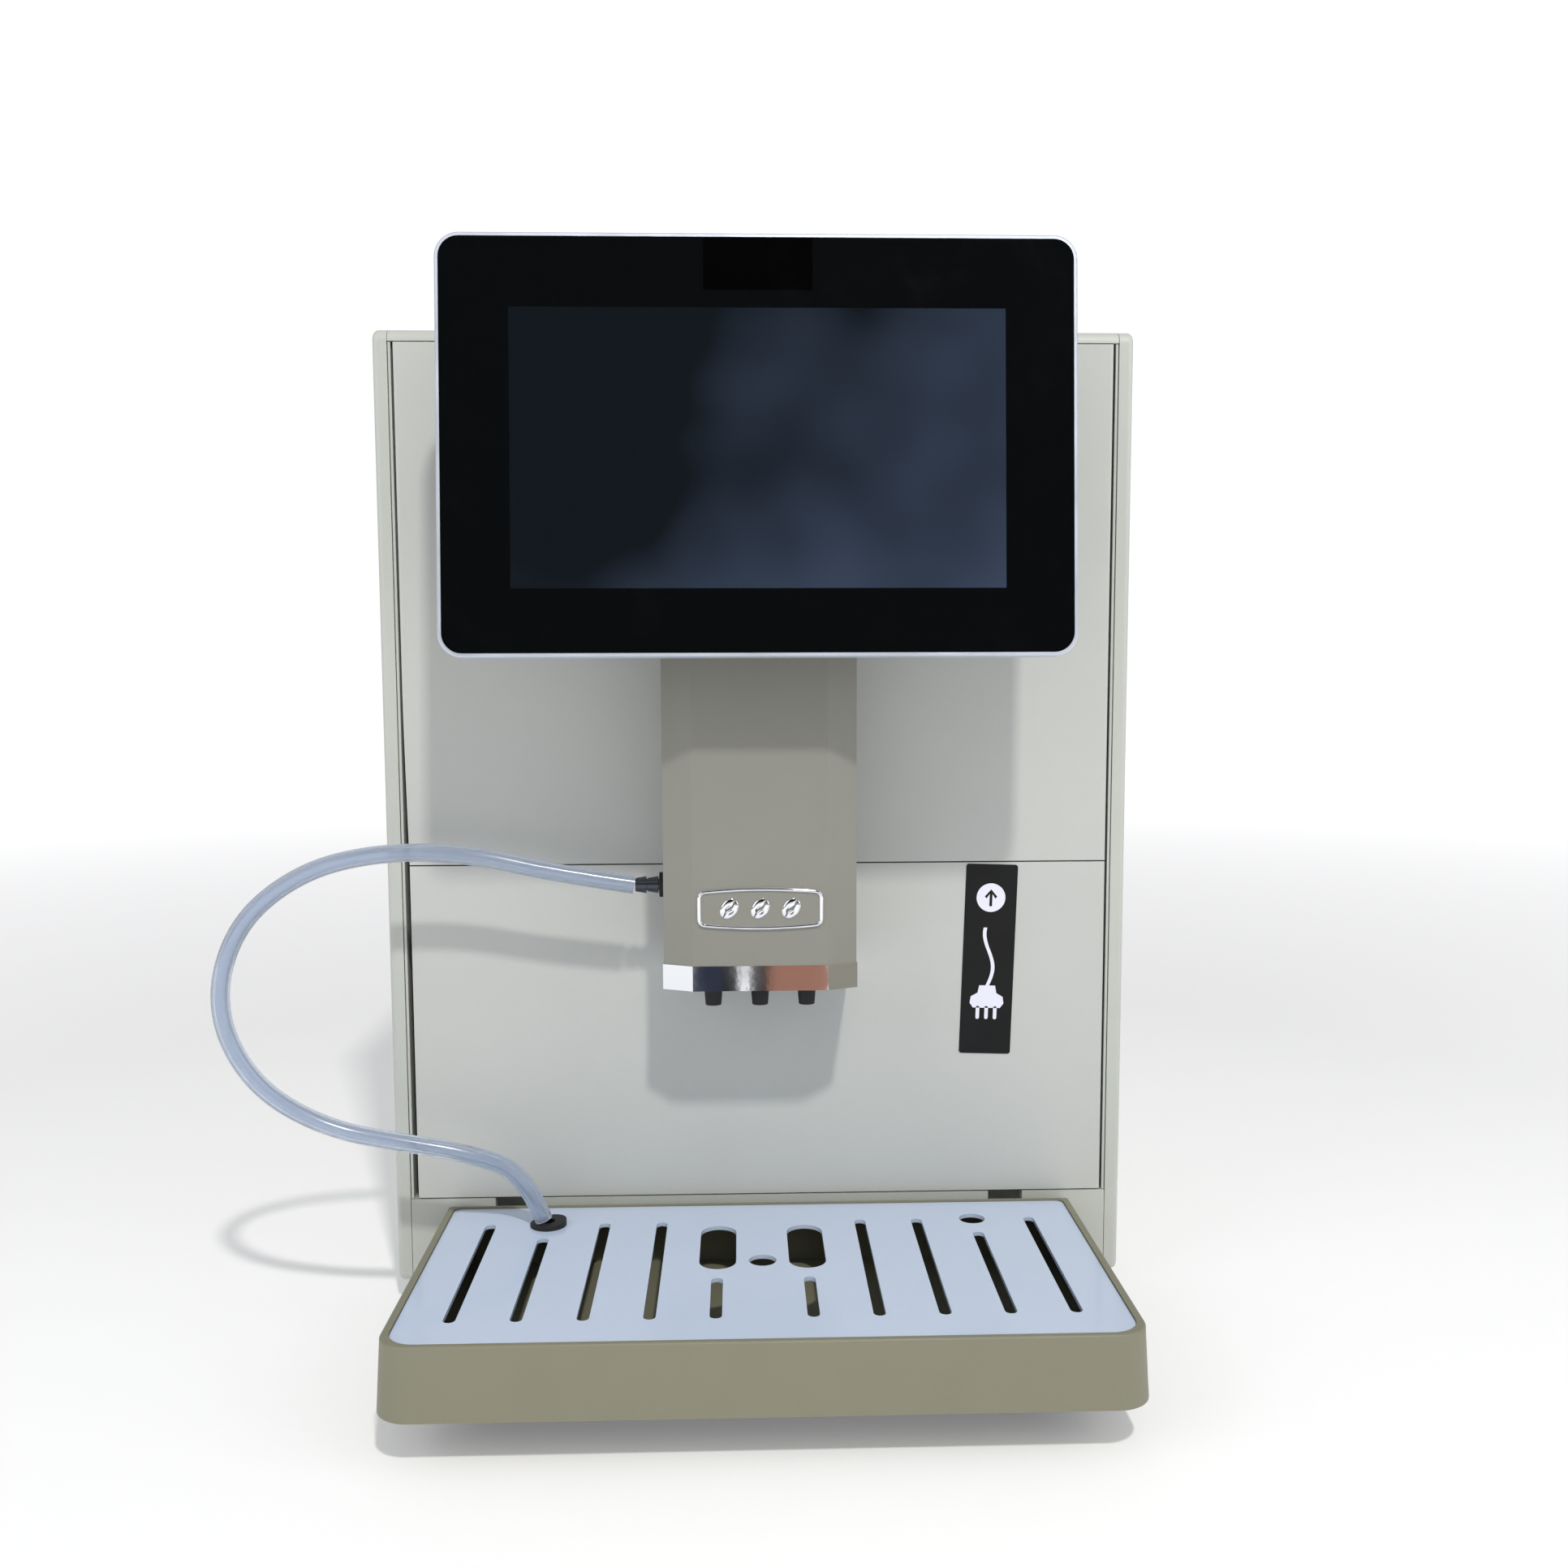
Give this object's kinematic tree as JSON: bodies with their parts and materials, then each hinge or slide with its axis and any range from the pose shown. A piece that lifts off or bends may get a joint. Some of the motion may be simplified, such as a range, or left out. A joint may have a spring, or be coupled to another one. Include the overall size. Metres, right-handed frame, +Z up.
{
  "type": "hot coffee vending machine",
  "caption": "Tabletop bean-to-cup coffee machine: hinged front door with touch screen, height-adjustable spout, milk hose, pull-out drip tray, lids and a full brewer inside.",
  "frame": {"origin": "centre of the footprint on the table: midway between the tray's front edge and the cabinet's back, and midway between the side panels", "axes": "+Z up, front of the machine faces -Y, +X to the right as seen from the front"},
  "size_m": [0.4629, 0.54, 0.5307],
  "materials": {
    "aluminium": "bead blasted anodised",
    "black_glass": "black printed touch glass",
    "black_plastic": "black glass-filled nylon",
    "brass": "machined brass",
    "cast_alloy": "die-cast alloy",
    "chrome": "bright plated",
    "circuit": "green circuit board",
    "clear_plastic": "smoked clear tank plastic",
    "display": "display module",
    "label_black": "black printed film",
    "plate_white": "white coated steel",
    "rubber": "black rubber",
    "silicone": "clear silicone hose",
    "stainless": "stainless vessel",
    "steel_sheet": "galvanised sheet",
    "taupe_plastic": "taupe painted plastic",
    "tray_beige": "beige moulded plastic",
    "white_panel": "off-white powder-coated sheet",
    "white_shell": "fine textured off-white ABS"
  },
  "bodies": {
    "cabinet": {"base_pan": "steel_sheet", "plinth": "white_shell", "tray_shelf": "black_plastic", "feet": "rubber", "side_panel_left": "white_shell", "side_panel_right": "white_shell", "trim_strips": "white_shell", "back_panel": "white_panel", "top_cover": "white_shell", "hinge_pins": "stainless", "door_bumpers": "rubber", "equipment_shelf": "steel_sheet", "grinder_body": "cast_alloy", "bean_hopper": "clear_plastic", "brew_frame": "steel_sheet", "brew_chamber": "black_plastic", "brew_motor": "steel_sheet", "grounds_bin": "black_plastic", "coffee_boiler": "stainless", "steam_boiler": "stainless", "pump": "brass", "water_pipes": "stainless", "outlet_pipe": "stainless", "water_tank": "clear_plastic", "power_supply": "steel_sheet", "control_board": "circuit", "valve_block": "brass", "fan_frame": "black_plastic", "mains_inlet": "black_plastic", "switch_bezel": "black_plastic"},
    "door": {"door_frame": "black_plastic", "upper_panel": "white_panel", "lower_panel": "white_panel", "instruction_label": "label_black", "touch_glass": "black_glass", "screen_frame": "aluminium", "display_module": "display", "screen_shell": "black_plastic", "screen_bracket": "steel_sheet", "spout_rail": "cast_alloy"},
    "spout": {"spout_cover": "taupe_plastic", "spout_tip": "chrome", "spout_manifold": "black_plastic", "nozzles": "rubber", "spout_carriage": "black_plastic", "spout_badge": "taupe_plastic", "milk_washer": "rubber", "milk_fitting": "black_plastic", "milk_hose": "silicone"},
    "drip_tray": {"tray_pan": "tray_beige", "drip_plate": "plate_white", "hose_grommet": "rubber"},
    "hopper_lid_body": {"hopper_lid": "white_shell"},
    "tank_lid_body": {"tank_lid": "white_shell"},
    "power_rocker_body": {"power_rocker": "black_plastic"},
    "grinder_burr_body": {"grinder_burr": "stainless"},
    "fan_rotor_body": {"fan_rotor": "black_plastic"},
    "drive_screw_body": {"drive_screw": "stainless"},
    "brew_piston_body": {"brew_piston": "black_plastic"}
  },
  "joints": [
    {"name": "door_hinge", "type": "hinge", "parent": "cabinet", "child": "door", "pos_m": [0.165, -0.0935, 0.28], "axis": [0, 0, 1], "range_deg": [0, 95]},
    {"name": "spout_slide", "type": "slide", "parent": "door", "child": "spout", "axis": [0, 0, 1], "range_m": [0, 0.062]},
    {"name": "tray_slide", "type": "slide", "parent": "cabinet", "child": "drip_tray", "axis": [0, -1, 0], "range_m": [0, 0.19]},
    {"name": "hopper_lid_hinge", "type": "hinge", "parent": "cabinet", "child": "hopper_lid_body", "pos_m": [-0.065, 0.0794, 0.511], "axis": [-1, 0, 0], "range_deg": [0, 100]},
    {"name": "tank_lid_hinge", "type": "hinge", "parent": "cabinet", "child": "tank_lid_body", "pos_m": [0.105, 0.2554, 0.511], "axis": [-1, 0, 0], "range_deg": [0, 100]},
    {"name": "power_rocker_tilt", "type": "hinge", "parent": "cabinet", "child": "power_rocker_body", "pos_m": [-0.183, -0.058, 0.205], "axis": [0, 1, 0], "range_deg": [0, 12]},
    {"name": "burr_spin", "type": "hinge", "parent": "cabinet", "child": "grinder_burr_body", "pos_m": [-0.06, 0, 0.36], "axis": [0, 0, 1], "continuous": true},
    {"name": "fan_spin", "type": "hinge", "parent": "cabinet", "child": "fan_rotor_body", "pos_m": [-0.1, 0.255, 0.26], "axis": [0, 1, 0], "continuous": true},
    {"name": "screw_turn", "type": "hinge", "parent": "cabinet", "child": "drive_screw_body", "pos_m": [-0.008, 0, 0.2], "axis": [0, 0, 1], "range_deg": [0, 1440]},
    {"name": "piston_slide", "type": "slide", "parent": "cabinet", "child": "brew_piston_body", "axis": [0, 0, -1], "range_m": [0, 0.0301]}
  ],
  "couplings": [
    {"joint": "piston_slide", "follows": "screw_turn", "m_per_rad": 0.0011937}
  ]
}
